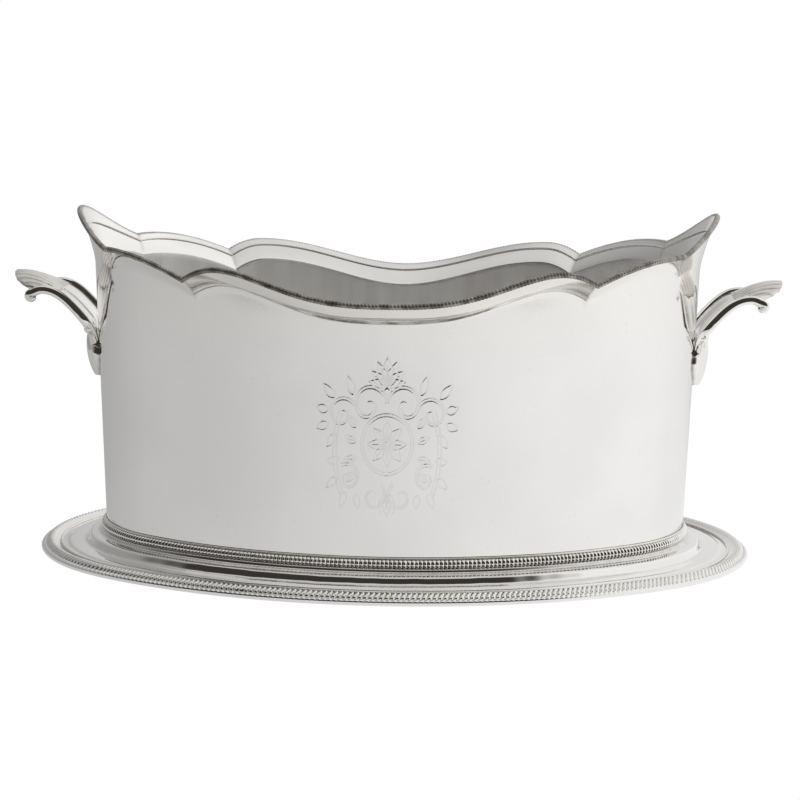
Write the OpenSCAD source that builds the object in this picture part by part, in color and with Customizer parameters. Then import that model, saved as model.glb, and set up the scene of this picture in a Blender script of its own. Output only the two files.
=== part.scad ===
// Oval silver champagne bucket: tapered oval body with a scalloped flared lip, a stepped
// oval foot with a wide gadrooned border, and a cast shell handle fixed at each end.
// Millimetres, +Z up, long axis along X, origin at the middle of the underside.

/* [Body] */
// Length of the oval body where it stands on the foot
body_l = 376; // [300:1:460]
// Width of the oval body where it stands on the foot
body_w = 251; // [206:1:302]
// Height of the body from the foot to the lowest point of the lip
body_h = 155; // [110:1:200]
// How far the wall leans out over the body height
wall_flare = 5.6; // [0:0.2:9]
// Thickness of the wall sheet
wall_t = 1.6; // [1.2:0.1:2.6]
// Thickness of the floor plate inside the body
floor_t = 2; // [1.5:0.1:3]

/* [Foot] */
// Height of the stepped foot under the body
foot_h = 19; // [15:0.5:26]
// How far the border of the foot stands out past the body
foot_reach = 42; // [34:0.5:52]
// Thickness of the foot sheet
foot_t = 1.8; // [1.4:0.1:2.4]
// Height of the gadrooned collar round the bottom of the body
collar_h = 5.2; // [4:0.2:7]
// How far the collar stands proud of the wall
collar_proud = 3.2; // [2:0.1:4.5]

/* [Lip] */
// How far the lip flares out beyond the wall at the middle of each long side
lip_flare = 18.6; // [10:0.2:24]
// Rise of the two humps of each long lobe above its middle
hump_rise = 18; // [8:0.5:24]
// Rise of the end peaks above the middle of the long sides
peak_rise = 46.5; // [36:0.5:60]
// Diameter of the gadrooned wire along the edge
edge_wire_d = 3.6; // [2.8:0.1:4.6]

/* [Handles] */
// Width of each handle over its side rails
handle_w = 66; // [52:1:80]
// How far each handle reaches past the end of the body at the foot
handle_reach = 58.6; // [50:0.2:72]
// Height of the shell tips above the foot
handle_z = 160; // [126:0.5:176]
// Diameter of the side rails
rail_d = 5.6; // [4.4:0.1:7]

/* [Hidden] */

silver = [0.78, 0.77, 0.75];
bright = [0.86, 0.86, 0.85];
aged = [0.62, 0.6, 0.57];

// Four-arc oval on a 3-4-5 triangle: two end arcs of radius end_r run tangent into two side
// arcs of radius side_r. Every other outline is a parallel curve at distance u from it.
half_l = body_l / 2;
half_w = body_w / 2;
k345 = (half_l - half_w) / 2;
end_r = half_w - k345;
side_r = end_r + 5 * k345;
end_x = 3 * k345;
side_y = 4 * k345;
turn = atan2(4, 3);
// Facets of a full end arc, and the reach of the wedges that part the arcs.
arc_fn = 180;
wedge_k = 120;

// A profile drawn as [u, z] points, swept round the oval.
module oval_sweep() {
    for (e = [-1, 1]) {
        intersection() {
            translate([e * end_x, 0, 0])
                rotate_extrude($fn = arc_fn)
                    translate([end_r, 0])
                        children();
            translate([0, 0, -50])
                linear_extrude(height = 400)
                    polygon([[e * end_x, 0], [e * (end_x + 3 * wedge_k), 4 * wedge_k],
                        [e * (end_x + 9 * wedge_k), 0], [e * (end_x + 3 * wedge_k), -4 * wedge_k]]);
        }
        intersection() {
            translate([0, -e * side_y, 0])
                rotate_extrude($fn = arc_fn * 2)
                    translate([side_r, 0])
                        children();
            translate([0, 0, -50])
                linear_extrude(height = 400)
                    polygon([[0, -e * side_y], [end_x + 3 * wedge_k, e * 4 * wedge_k],
                        [-end_x - 3 * wedge_k, e * 4 * wedge_k]]);
        }
    }
}

// Point of the oval for s from 0 at an end to 1 at the middle of a long side.
end_len = end_r * turn * PI / 180;
quarter_len = end_len + side_r * (90 - turn) * PI / 180;
function psi(s) = s * quarter_len < end_len
    ? s * quarter_len / end_r * 180 / PI
    : turn + (s * quarter_len - end_len) / side_r * 180 / PI;
function oval_x(s, u) = psi(s) < turn
    ? end_x + (end_r + u) * cos(psi(s))
    : (side_r + u) * cos(psi(s));
function oval_y(s, u) = psi(s) < turn
    ? (end_r + u) * sin(psi(s))
    : (side_r + u) * sin(psi(s)) - side_y;

// Wall line: how far the outside of the wall stands out at height z.
rim_z = foot_h + body_h;
function wall_u(z) = wall_flare * (z - foot_h) / (rim_z - foot_h + 6);

// The lip: an end peak, an end cusp, a side lobe, a main cusp, then a long lobe with a hump.
end_cusp_s = 0.238;
main_cusp_s = 0.525;
hump_q = 0.82;
cusp_rise = 11;
end_rise = 24.6;
side_swell = 4.6;
function long_q(s) = (1 - s) / (1 - main_cusp_s);
function side_w(s) = (main_cusp_s - s) / (main_cusp_s - end_cusp_s);
function ease(a) = (1 - cos(180 * a)) / 2;
// The front edge hangs a little flatter between middle and hump than the back edge.
function hang(back) = back ? 0.95 : 1.45;
function lip_rise(s, back) = s >= main_cusp_s
    ? (long_q(s) < hump_q
        ? hump_rise * ease(pow(long_q(s) / hump_q, hang(back)))
        : hump_rise - (hump_rise - cusp_rise) * pow((long_q(s) - hump_q) / (1 - hump_q), 2))
    : s >= end_cusp_s
        ? cusp_rise + (end_rise - cusp_rise) * side_w(s) + side_swell * 4 * side_w(s) * (1 - side_w(s))
        : end_rise + (peak_rise - end_rise) * (ease(1 - s / end_cusp_s) + 1 - pow(s / end_cusp_s, 2)) / 2;
main_u = lip_flare - 2.4;
crest_u = lip_flare - 5.6;
cusp_u = lip_flare - 12;
peak_u = lip_flare - 6.2;
function lip_out(s) = s >= main_cusp_s
    ? main_u + (lip_flare - main_u) * ease(min(1, (1 - long_q(s)) * 2.2))
    : s >= end_cusp_s
        ? main_u + (cusp_u - main_u) * side_w(s)
            + (crest_u - (main_u + cusp_u) / 2) * 4 * side_w(s) * (1 - side_w(s))
        : cusp_u + (peak_u - cusp_u) * ease(1 - s / end_cusp_s);
// Depth of the flare below the edge.
function flare_h(s) = s >= end_cusp_s ? 13 : 13 + 22 * ease(1 - s / end_cusp_s);

// Stations round the whole lip, as [s, sign of x, sign of y].
quarter_s = concat([for (i = [0:9]) end_cusp_s * i / 10],
    [for (i = [0:8]) end_cusp_s + (main_cusp_s - end_cusp_s) * i / 9],
    [for (i = [0:18]) main_cusp_s + (1 - main_cusp_s) * i / 19]);
quarter_n = len(quarter_s);
stations = concat([for (i = [0:quarter_n - 1]) [quarter_s[i], 1, 1]],
    [for (i = [0:quarter_n - 1]) [i == 0 ? 1 : quarter_s[quarter_n - i], -1, 1]],
    [for (i = [0:quarter_n - 1]) [quarter_s[i], -1, -1]],
    [for (i = [0:quarter_n - 1]) [i == 0 ? 1 : quarter_s[quarter_n - i], 1, -1]]);
lip_foot_z = rim_z - 24;
edge_drop = edge_wire_d / 2;
function edge_z(t) = rim_z + lip_rise(t[0], t[2] > 0) - edge_drop;
function edge_u(t) = wall_u(rim_z) + lip_out(t[0]) - edge_drop;
function root_z(t) = edge_z(t) - flare_h(t[0]);
flare_steps = 6;
function flare_line(t, f) = [
    wall_u(root_z(t)) + (edge_u(t) - wall_u(root_z(t))) * pow(f, 1.9),
    root_z(t) + flare_h(t[0]) * f];
function lip_line(t) = concat([[wall_u(lip_foot_z), lip_foot_z]],
    [for (k = [0:flare_steps]) flare_line(t, k / flare_steps)]);
function unit(v) = v / norm(v);
function inward(line, k) = let (
    a = line[max(0, k - 1)], b = line[min(len(line) - 1, k + 1)], d = unit(b - a)) [-d[1], d[0]];
function lip_section(t) = let (line = lip_line(t), n = len(line)) concat(line,
    [for (k = [n - 1:-1:0]) line[k] + wall_t * (k == 0 ? [-1, 0] : inward(line, k))]);
function place(t, p) = [t[1] * oval_x(t[0], p[0]), t[2] * oval_y(t[0], p[0]), p[1]];

// Skin of a closed loop of sections that all have the same number of points.
function loop_faces(n, m) = [for (i = [0:n - 1]) for (j = [0:m - 1]) for (h = [0, 1])
    let (a = i * m + j, b = i * m + (j + 1) % m,
        c = ((i + 1) % n) * m + (j + 1) % m, d = ((i + 1) % n) * m + j)
        h == 0 ? [a, b, c] : [a, c, d]];
module lip_loop(sections) {
    polyhedron(points = [for (s = sections) for (p = s) p],
        faces = loop_faces(len(sections), len(sections[0])), convexity = 8);
}
// Skin of an open run of sections, closed by fans at both ends.
function run_faces(n, m) = concat(
    [for (i = [0:n - 2]) for (j = [0:m - 1]) for (h = [0, 1])
        let (a = i * m + j, b = i * m + (j + 1) % m, c = (i + 1) * m + (j + 1) % m, d = (i + 1) * m + j)
            h == 0 ? [a, b, c] : [a, c, d]],
    [for (j = [1:m - 2]) [0, j + 1, j]],
    [for (j = [1:m - 2]) [(n - 1) * m, (n - 1) * m + j, (n - 1) * m + j + 1]]);
module run(sections) {
    polyhedron(points = [for (s = sections) for (p = s) p],
        faces = run_faces(len(sections), len(sections[0])), convexity = 8);
}

// Levels of the foot, as distances out from the body and heights.
seat_z = foot_h - collar_h;
border_in = foot_reach - 12.5;
plate_z = 3.4;

// Foot sheet: seat under the collar, cove, step and nearly flat flange down to the rim.
module base_plate() {
    color(silver)
        oval_sweep()
            polygon([[-9, seat_z], [2.8, seat_z], [3.6, seat_z - 2], [5.8, seat_z - 3.6],
                [9, seat_z - 4.5], [11, seat_z - 5.8], [12.4, seat_z - 7.6], [15.5, 5.4],
                [border_in, 4.2], [foot_reach - 2, plate_z], [foot_reach - 1.6, 0],
                [foot_reach - 7, 0], [foot_reach - 9, plate_z - foot_t],
                [15, 5.2 - foot_t], [11.4, seat_z - 7.6 - foot_t], [9.6, seat_z - 6.6 - foot_t / 2],
                [5, seat_z - 5.4 - foot_t / 2], [2, seat_z - 3.6 - foot_t / 2],
                [1.2, seat_z - foot_t], [-9, seat_z - foot_t]]);
}

// Raised gadrooned border lying on the flange.
module base_border() {
    color(bright)
        oval_sweep()
            polygon([[border_in, 4.2], [border_in + 0.8, 5.4], [border_in + 2.4, 6.9],
                [border_in + 4.2, 7.3], [border_in + 6, 6.9], [border_in + 8, 5.6],
                [foot_reach - 3, plate_z + 1.2], [foot_reach - 2.2, plate_z + 0.12],
                [border_in + 6, plate_z + 0.5]]);
}

// Smooth rolled edge of the foot.
module base_roll() {
    color(bright)
        oval_sweep()
            translate([foot_reach - 2.1, 2.2])
                circle(r = 2.1, $fn = 20);
}

// Thin reeded step inside the border.
module base_reed() {
    color(aged)
        oval_sweep()
            translate([border_in - 0.7, 5])
                circle(r = 0.8, $fn = 12);
}

// Fluted collar that wraps the bottom of the wall.
module collar() {
    color(bright)
        oval_sweep()
            polygon([[0, seat_z], [collar_proud - 0.6, seat_z], [collar_proud, seat_z + 1],
                [collar_proud, seat_z + 2.4], [collar_proud - 0.7, seat_z + 3.8],
                [collar_proud - 1.8, foot_h - 0.6], [collar_proud - 2.4, foot_h], [0, foot_h]]);
}

// Plain wire soldered between wall and collar.
module collar_wire() {
    color(aged)
        oval_sweep()
            polygon([[0.08, foot_h], [1.3, foot_h], [1.5, foot_h + 0.5],
                [1.2, foot_h + 1.1], [0.08, foot_h + 1.3]]);
}

// Plain tapered wall from the seat up to the lip.
module body_wall() {
    color(silver)
        oval_sweep()
            polygon([[-wall_t, seat_z], [0, seat_z], [0, foot_h], [wall_u(lip_foot_z), lip_foot_z],
                [wall_u(lip_foot_z) - wall_t, lip_foot_z], [-wall_t, foot_h]]);
}

// Floor of the bucket, let in just inside the wall.
module body_floor() {
    color(aged)
        translate([0, 0, seat_z])
            linear_extrude(height = floor_t)
                polygon([for (t = stations) [t[1] * oval_x(t[0], -wall_t), t[2] * oval_y(t[0], -wall_t)]]);
}

// Scalloped flared lip with a crease at every cusp.
module lip() {
    color(silver)
        lip_loop([for (t = stations) [for (p = lip_section(t)) place(t, p)]]);
}

// Gadrooned wire soldered along the edge of the lip.
module lip_wire() {
    color(aged)
        lip_loop([for (t = stations) [for (k = [0:7])
            place(t, [edge_u(t) + edge_wire_d / 2 * cos(45 * k), edge_z(t) + edge_wire_d / 2 * sin(45 * k)])]]);
}

// Fine reed on the inside of the flare, a little below the wire.
reed_r = 0.8;
reed_f = 0.72;
function reed_at(t) = let (p = flare_line(t, reed_f), d = unit(flare_line(t, reed_f + 0.1) - p))
    p + (wall_t + 0.35) * [-d[1], d[0]];
module lip_reed() {
    color(bright)
        lip_loop([for (t = stations) let (c = reed_at(t)) [for (k = [0:4])
            place(t, [c[0] + reed_r * cos(72 * k), c[1] + reed_r * sin(72 * k)])]]);
}

// Handles, drawn for the right end. Heights are taken down from the shell tip.
tip_x = half_l + handle_reach;
tip_z = foot_h + handle_z;
rail_y = handle_w / 2 - rail_d / 2;
arm_x0 = half_l + wall_u(tip_z - 40);
reach = tip_x - arm_x0;
// Line of the arm from the leaf up to the volute: fractions of the reach, drop below the tip.
arm = [[0.03, 52], [0.02, 47], [0.02, 42], [0.03, 36.8], [0.08, 31.2], [0.153, 26.2], [0.245, 20.8],
    [0.335, 16.3], [0.426, 13], [0.517, 11.2], [0.616, 11], [0.69, 12.6]];
function arm_pt(k) = [arm_x0 + arm[k][0] * reach, tip_z - arm[k][1]];
arm_n = len(arm);
function arm_dir(k) = unit(arm_pt(min(arm_n - 1, k + 1)) - arm_pt(max(0, k - 1)));
// Rails lean inwards at the foot of the arm, where they run onto the leaf.
function rail_side(k) = rail_y * (0.5 + 0.5 * ease(min(1, max(0, (k - 0.5) / 4))));
volute_r = 2.3;
volute_c = arm_pt(arm_n - 1) + [1.2, -volute_r - 0.4];
function volute(a) = volute_c + volute_r * (1 - a / 560) * [sin(a + 12), cos(a + 12)];
rail_path = concat([for (k = [1:arm_n - 1]) [arm_pt(k)[0], rail_side(k), arm_pt(k)[1], 1]],
    [for (a = [40:40:320]) [volute(a)[0], rail_y, volute(a)[1], 1 - a / 700]]);
rail_n = len(rail_path);
function flat_dir(k) = let (a = rail_path[max(0, k - 1)], b = rail_path[min(rail_n - 1, k + 1)])
    unit([b[0] - a[0], b[2] - a[2]]);
function rail_ring(k, side) = let (p = rail_path[k], d = flat_dir(k), r = rail_d / 2 * p[3] * (k == 0 ? 0.6 : 1))
    [for (j = [0:9]) let (c = r * cos(36 * j), w = r * sin(36 * j))
        [p[0] - d[1] * c, side * p[1] + side * w, p[2] + d[0] * c]];
module rail(side) {
    color(silver)
        mirror([0, side < 0 ? 1 : 0, 0])
            run([for (k = [0:rail_n - 1]) rail_ring(k, 1)]);
}

// Strap: the hollow web between the rails.
strap_t = 2.2;
web_n = 8;
function web_point(k, v, low) = let (p = arm_pt(k), d = arm_dir(k), w = rail_side(k) - rail_d * 0.3,
    h = -2.6 * (1 - v * v) + (low ? -strap_t / 2 : strap_t / 2))
    [p[0] - d[1] * h, w * v, p[1] + d[0] * h];
module strap() {
    color(silver)
        run([for (k = [1:arm_n - 2]) concat(
            [for (i = [0:web_n]) web_point(k, -1 + 2 * i / web_n, false)],
            [for (i = [web_n:-1:0]) web_point(k, -1 + 2 * i / web_n, true)])]);
}

// Shell: arched fluted fan that widens to a rounded outer edge.
shell_t = 2.4;
fan_n = 12;
shell_x0 = arm_x0 + 0.46 * reach;
function fan_out(v) = sqrt(1 - pow(abs(v), 2.6) * 0.86);
function fan_x(r, v) = shell_x0 + (tip_x - shell_x0) * (0.02 + 0.98 * r * fan_out(v)) - 0.5 * (1 - r);
function fan_y(r, v) = rail_y * v * (0.92 + 0.16 * sin(160 * r));
function fan_top(r, v) = tip_z - shell_t / 2 - 9.5 * pow(1 - r, 1.5) + 0.9
    - (2.2 + 9.2 * pow(r, 0.8)) * v * v - 1.6 * r * r * r;
function fan_section(r) = concat(
    [for (i = [0:fan_n]) let (v = -1 + 2 * i / fan_n)
        [fan_x(r, v), fan_y(r, v), fan_top(r, v) + shell_t / 2 * (1 - 0.4 * r)]],
    [for (i = [fan_n:-1:0]) let (v = -1 + 2 * i / fan_n)
        [fan_x(r, v), fan_y(r, v), fan_top(r, v) - shell_t / 2 * (1 - 0.4 * r)]]);
module shell() {
    color(bright)
        run([for (r = [0:0.1:1.001]) fan_section(min(1, r))]);
}

// Leaf: long drop-shaped terminal that wraps the end of the wall.
leaf_top = tip_z - 40;
leaf_h = 28.5;
leaf_n = 10;
function leaf_half(q) = handle_w * 0.36 * pow(sin(20 + 152 * q), 0.7);
function leaf_proud(q) = 10 * pow(sin(40 + 122 * q), 0.35) * (1 - 0.22 * q);
function leaf_section(q) = let (z = leaf_top - leaf_h * q, r0 = end_r + wall_u(z), a = leaf_half(q) / r0 * 180 / PI)
    concat(
        [for (i = [0:leaf_n]) let (v = -1 + 2 * i / leaf_n, r = r0 + 0.1 + leaf_proud(q) * sqrt(1.02 - v * v))
            [end_x + r * cos(a * v), r * sin(a * v), z]],
        [for (i = [leaf_n:-1:0]) let (v = -1 + 2 * i / leaf_n)
            [end_x + (r0 - 0.15) * cos(a * v), (r0 - 0.15) * sin(a * v), z]]);
module leaf() {
    color(silver)
        run([for (k = [0:10]) leaf_section(k / 10)]);
}

module left_strap() mirror([1, 0, 0]) strap();
module left_rail_front() mirror([1, 0, 0]) rail(-1);
module left_rail_back() mirror([1, 0, 0]) rail(1);
module left_shell() mirror([1, 0, 0]) shell();
module left_leaf() mirror([1, 0, 0]) leaf();
module right_strap() strap();
module right_rail_front() rail(-1);
module right_rail_back() rail(1);
module right_shell() shell();
module right_leaf() leaf();

base_plate();
base_border();
base_roll();
base_reed();
collar();
collar_wire();
body_wall();
body_floor();
lip();
lip_wire();
lip_reed();
left_strap();
left_rail_front();
left_rail_back();
left_shell();
left_leaf();
right_strap();
right_rail_front();
right_rail_back();
right_shell();
right_leaf();
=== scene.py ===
import math
import bmesh
import bpy
import numpy as np
from mathutils import Matrix, Vector


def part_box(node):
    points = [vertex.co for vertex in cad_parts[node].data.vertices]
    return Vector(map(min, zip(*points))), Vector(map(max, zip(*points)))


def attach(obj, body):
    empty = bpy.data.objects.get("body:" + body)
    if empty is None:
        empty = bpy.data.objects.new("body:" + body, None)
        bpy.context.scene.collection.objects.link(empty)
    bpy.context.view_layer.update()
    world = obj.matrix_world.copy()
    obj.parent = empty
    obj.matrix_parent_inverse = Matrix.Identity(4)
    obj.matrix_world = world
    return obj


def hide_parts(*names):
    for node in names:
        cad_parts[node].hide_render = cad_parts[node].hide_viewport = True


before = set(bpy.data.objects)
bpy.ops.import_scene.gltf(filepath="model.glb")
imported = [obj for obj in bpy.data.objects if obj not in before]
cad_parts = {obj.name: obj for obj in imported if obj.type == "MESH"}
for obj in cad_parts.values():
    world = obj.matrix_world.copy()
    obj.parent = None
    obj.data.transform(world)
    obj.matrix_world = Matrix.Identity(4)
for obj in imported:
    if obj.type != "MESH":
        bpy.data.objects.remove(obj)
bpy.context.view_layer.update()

MM = 0.001

camera_data = bpy.data.cameras.new("camera")
camera_data.sensor_width = 36
camera_data.lens = 94.66
camera = bpy.data.objects.new("camera", camera_data)
bpy.context.scene.collection.objects.link(camera)
CAMERA_AT = Vector((52.5, -1352.5, 294.9)) * MM
LOOK_DOWN, LOOK_LEFT, CAMERA_ROLL = 0.1454, 0.0366, 0.0117
camera.matrix_world = (Matrix.Translation(CAMERA_AT) @ Matrix.Rotation(LOOK_LEFT, 4, "Z")
                       @ Matrix.Rotation(math.pi / 2 - LOOK_DOWN, 4, "X")
                       @ Matrix.Rotation(CAMERA_ROLL, 4, "Z"))
bpy.context.scene.camera = camera


def add_nodes(tree, *kinds):
    """New shader nodes of the given kinds, in order."""
    return [tree.nodes.new("ShaderNode" + kind) for kind in kinds]


def ramp(tree, fac, stops, interpolation="EASE"):
    """A colour ramp fed by fac; stops are (place, grey or colour)."""
    node = tree.nodes.new("ShaderNodeValToRGB")
    node.color_ramp.interpolation = interpolation
    while len(node.color_ramp.elements) < len(stops):
        node.color_ramp.elements.new(1.0)
    for element, (place, shade) in zip(node.color_ramp.elements, stops):
        element.position = place
        element.color = (*((shade,) * 3 if isinstance(shade, float) else shade), 1)
    tree.links.new(fac, node.inputs[0])
    return node.outputs[0]


def arithmetic(tree, operation, *values):
    """One step of arithmetic on numbers and sockets."""
    node = tree.nodes.new("ShaderNodeMath")
    node.operation = operation
    for socket, value in zip(node.inputs, values):
        if isinstance(value, (int, float)):
            socket.default_value = value
        else:
            tree.links.new(value, socket)
    return node.outputs[0]


def blend(tree, fac, a, b, kind="MIX"):
    """Mixes two colours, each a socket or a grey."""
    node = tree.nodes.new("ShaderNodeMix")
    node.data_type = "RGBA"
    node.blend_type = kind
    for socket, value in zip((node.inputs["Factor"], node.inputs[6], node.inputs[7]), (fac, a, b)):
        if isinstance(value, (int, float)):
            socket.default_value = value if socket.type == "VALUE" else (value, value, value, 1)
        elif isinstance(value, tuple):
            socket.default_value = (*value, 1)
        else:
            tree.links.new(value, socket)
    return node.outputs[2]


def bearing_of(tree, side, depth):
    """Angle round from straight in front of the bucket, positive to the right."""
    return arithmetic(tree, "ARCTAN2", side, arithmetic(tree, "MULTIPLY", depth, -1.0))


def as_share(tree, angle):
    """An angle as a share of the full turn, with 0.5 straight in front."""
    return arithmetic(tree, "MULTIPLY_ADD", angle, 0.5 / math.pi, 0.5)


world = bpy.data.worlds.new("studio")
bpy.context.scene.world = world
world.use_nodes = True
sky = world.node_tree
sky.nodes.clear()
where, split, path, glow, out = add_nodes(
    sky, "TexCoord", "SeparateXYZ", "LightPath", "Background", "OutputWorld")
sky.links.new(where.outputs["Generated"], split.inputs[0])
side, depth, height = split.outputs
DARK_ROOM = (0.04, 0.035, 0.031)
left_to_right = arithmetic(sky, "MULTIPLY_ADD", side, 0.5, 0.5)
walls = ramp(sky, left_to_right, [(0.0, 0.30), (0.3, 0.42), (0.55, 0.78), (0.8, 0.95), (1.0, 0.9)])
dark_front = ramp(sky, as_share(sky, bearing_of(sky, side, depth)),
                  [(0.24, 0.0), (0.32, 1.0), (0.6, 1.0), (0.68, 0.0)])
dark_low = ramp(sky, height, [(0.0, 1.0), (0.7, 1.0), (0.84, 0.0)])
seen = blend(sky, arithmetic(sky, "MULTIPLY", dark_front, dark_low), walls, DARK_ROOM)
ceiling = ramp(sky, height, [(0.72, 0.0), (0.86, 1.0)])
above = ramp(sky, left_to_right, [(0.2, 0.6), (0.55, 0.7), (0.9, 0.84)])
seen = blend(sky, ceiling, seen, above)
seen = blend(sky, path.outputs["Is Camera Ray"], seen, 1.0)
sky.links.new(seen, glow.inputs["Color"])
sky.links.new(glow.outputs[0], out.inputs[0])

# The floor: a sheet that runs out past the table's edge. The camera sees it plain white; to everything
# else it glows with painted light, as if lit from the right, and is painted dark past the table's edge in
# front.
bm = bmesh.new()
bmesh.ops.create_grid(bm, x_segments=1, y_segments=1, size=6.0)
floor_mesh = bpy.data.meshes.new("floor")
bm.to_mesh(floor_mesh)
bm.free()
floor = bpy.data.objects.new("floor", floor_mesh)
bpy.context.scene.collection.objects.link(floor)
glowing_floor_material = bpy.data.materials.new("painted_light_floor")
glowing_floor_material.use_nodes = True
tree = glowing_floor_material.node_tree
tree.nodes.clear()
where, split, path, shown, out = add_nodes(
    tree, "TexCoord", "SeparateXYZ", "LightPath", "Emission", "OutputMaterial")
tree.links.new(where.outputs["Object"], split.inputs[0])
side, depth = split.outputs[:2]
bearing = bearing_of(tree, side, depth)
around = ramp(tree, as_share(tree, bearing),
              [(0.0, 0.5), (0.1, 0.42), (0.27, 0.52), (0.386, 0.61), (0.493, 0.72), (0.6, 0.85),
               (0.72, 0.92), (0.88, 0.79), (1.0, 0.5)], "CARDINAL")
far = arithmetic(tree, "SQRT", arithmetic(tree, "ADD", arithmetic(tree, "POWER", side, 2.0),
                                          arithmetic(tree, "POWER", depth, 2.0)))
past_table = ramp(tree, arithmetic(tree, "MULTIPLY", far, 0.5), [(0.62, 0.0), (0.74, 1.0)])
ahead = ramp(tree, arithmetic(tree, "MULTIPLY", arithmetic(tree, "ABSOLUTE", bearing), 0.5),
             [(0.3, 1.0), (0.5, 0.0)])
# Painted light for reflections: a glow set by bearing round the bucket, brighter to the right, painted
# dark past the table's edge in front.
lit = blend(tree, arithmetic(tree, "MULTIPLY", past_table, ahead), around, DARK_ROOM)
tree.links.new(blend(tree, path.outputs["Is Camera Ray"], lit, 1.0), shown.inputs["Color"])
tree.links.new(shown.outputs[0], out.inputs[0])
floor.data.materials.append(glowing_floor_material)


# The foot: a sheet-silver stepped oval plate, spun and stamped, with a wide nearly flat flange.
# Its outline is a four-arc oval, and every ring on it is parallel to that oval.
FOOT_REACH = 42 * MM
roll_low, roll_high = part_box("base_roll")
HALF_LENGTH = roll_high[0] - FOOT_REACH
HALF_WIDTH = roll_high[1] - FOOT_REACH
ARC_STEP = (HALF_LENGTH - HALF_WIDTH) / 2
END_RADIUS = HALF_WIDTH - ARC_STEP
SIDE_RADIUS = END_RADIUS + 5 * ARC_STEP
END_CENTRE = 3 * ARC_STEP
SIDE_CENTRE = 4 * ARC_STEP
TURN = math.atan2(4, 3)
END_RUN = END_RADIUS * TURN
QUARTER_RUN = END_RUN + SIDE_RADIUS * (math.pi / 2 - TURN)
COLLAR_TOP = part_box("collar")[1][2]
COLLAR_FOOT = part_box("collar")[0][2]
TOUCHING = 0.01 * MM
SHARP_EDGE = math.radians(48)


def oval_band(bm, profile, end_steps, side_steps, closed=True, front=None):
    """Bends a grid round the oval: a profile of (out, up) points carried through every station.

    Stations run from 0 to 4, a quarter of the oval each; front adds finer ones round station 3.
    """
    quarter = np.concatenate([np.linspace(0, END_RUN, end_steps + 1)[:-1],
                              np.linspace(END_RUN, QUARTER_RUN, side_steps + 1)[:-1]]) / QUARTER_RUN
    back_again = 2 - np.append(quarter, 1)[:0:-1]
    around = np.concatenate([quarter, back_again, 2 + quarter, 2 + back_again, [4]])
    if front is not None:
        coarse = around[np.abs(around - 3) > np.max(np.abs(front))]
        around = np.sort(np.concatenate([coarse, 3 + front]))
    profile = np.array(profile + profile[:1] if closed else profile)
    bmesh.ops.create_grid(bm, x_segments=len(around) - 1, y_segments=len(profile) - 1, size=1)
    places = points_of(bm)
    station = around[np.rint((places[:, 0] + 1) / 2 * (len(around) - 1)).astype(int)]
    out, up = profile[np.rint((places[:, 1] + 1) / 2 * (len(profile) - 1)).astype(int)].T
    run = np.where(station % 2 > 1, 2 - station % 2, station % 2)
    x, y = from_oval(run, out, np.where((station > 1) & (station < 3), -1, 1),
                     np.where(station > 2, -1, 1))
    put_points(bm, np.stack([x, y, up], 1))
    bmesh.ops.remove_doubles(bm, verts=bm.verts, dist=TOUCHING)


def on_oval(x, y):
    """For points near the oval: distance out from it and run from 0 at an end to 1 at a long side."""
    ax, ay = np.abs(x), np.abs(y)
    at_end = ay * 3 < (ax - END_CENTRE) * 4
    end_angle = np.arctan2(ay, ax - END_CENTRE)
    side_angle = np.arctan2(ay + SIDE_CENTRE, ax)
    out = np.where(at_end, np.hypot(ax - END_CENTRE, ay) - END_RADIUS,
                   np.hypot(ax, ay + SIDE_CENTRE) - SIDE_RADIUS)
    run = np.where(at_end, end_angle * END_RADIUS, END_RUN + (side_angle - TURN) * SIDE_RADIUS)
    return out, run / QUARTER_RUN


def from_oval(run, out, side_x, side_y):
    """The point that lies a distance out from the oval at a run, in the quarter of the two signs."""
    length = run * QUARTER_RUN
    at_end = length < END_RUN
    angle = np.where(at_end, length / END_RADIUS, TURN + (length - END_RUN) / SIDE_RADIUS)
    radius = np.where(at_end, END_RADIUS, SIDE_RADIUS) + out
    x = np.where(at_end, END_CENTRE, 0) + radius * np.cos(angle)
    y = radius * np.sin(angle) - np.where(at_end, 0, SIDE_CENTRE)
    return side_x * x, side_y * y


def points_of(bm):
    """The places of all vertices, a row each."""
    return np.array([v.co for v in bm.verts])


def quarter_of(points):
    """The signs of x and y, which name the quarter of the oval."""
    return np.where(points[:, 0] < 0, -1, 1), np.where(points[:, 1] < 0, -1, 1)


def put_points(bm, points):
    """Moves every vertex to its row of points."""
    for vert, point in zip(bm.verts, points):
        vert.co = point


def finish_piece(bm, name, material, slot, *nodes, patina_and_shade=None, inside=None, lining=None):
    """Turns a bmesh into a smooth piece of the bucket that stands for its CAD nodes.

    The darkening per point, 0 to 1, stands for tarnish where a point lies out of the polisher's reach and
    for painted shade in a few places;
    faces whose points are all inside get the lining instead of the material.
    """
    bmesh.ops.recalc_face_normals(bm, faces=bm.faces)
    if lining is not None:
        bm.verts.index_update()
        for face in bm.faces:
            face.material_index = int(all(inside[v.index] for v in face.verts))
    mesh = bpy.data.meshes.new(name)
    bm.to_mesh(mesh)
    bm.free()
    mesh.shade_smooth()
    mesh.set_sharp_from_angle(angle=SHARP_EDGE)
    if patina_and_shade is not None:
        depths = mesh.attributes.new("patina_and_shade", "FLOAT", "POINT")
        depths.data.foreach_set("value", np.clip(patina_and_shade, 0, 1))
    piece = bpy.data.objects.new(name, mesh)
    bpy.context.scene.collection.objects.link(piece)
    piece.data.materials.append(material)
    if lining is not None:
        piece.data.materials.append(lining)
    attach(piece, "root")
    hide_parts(*nodes)
    return piece


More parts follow.
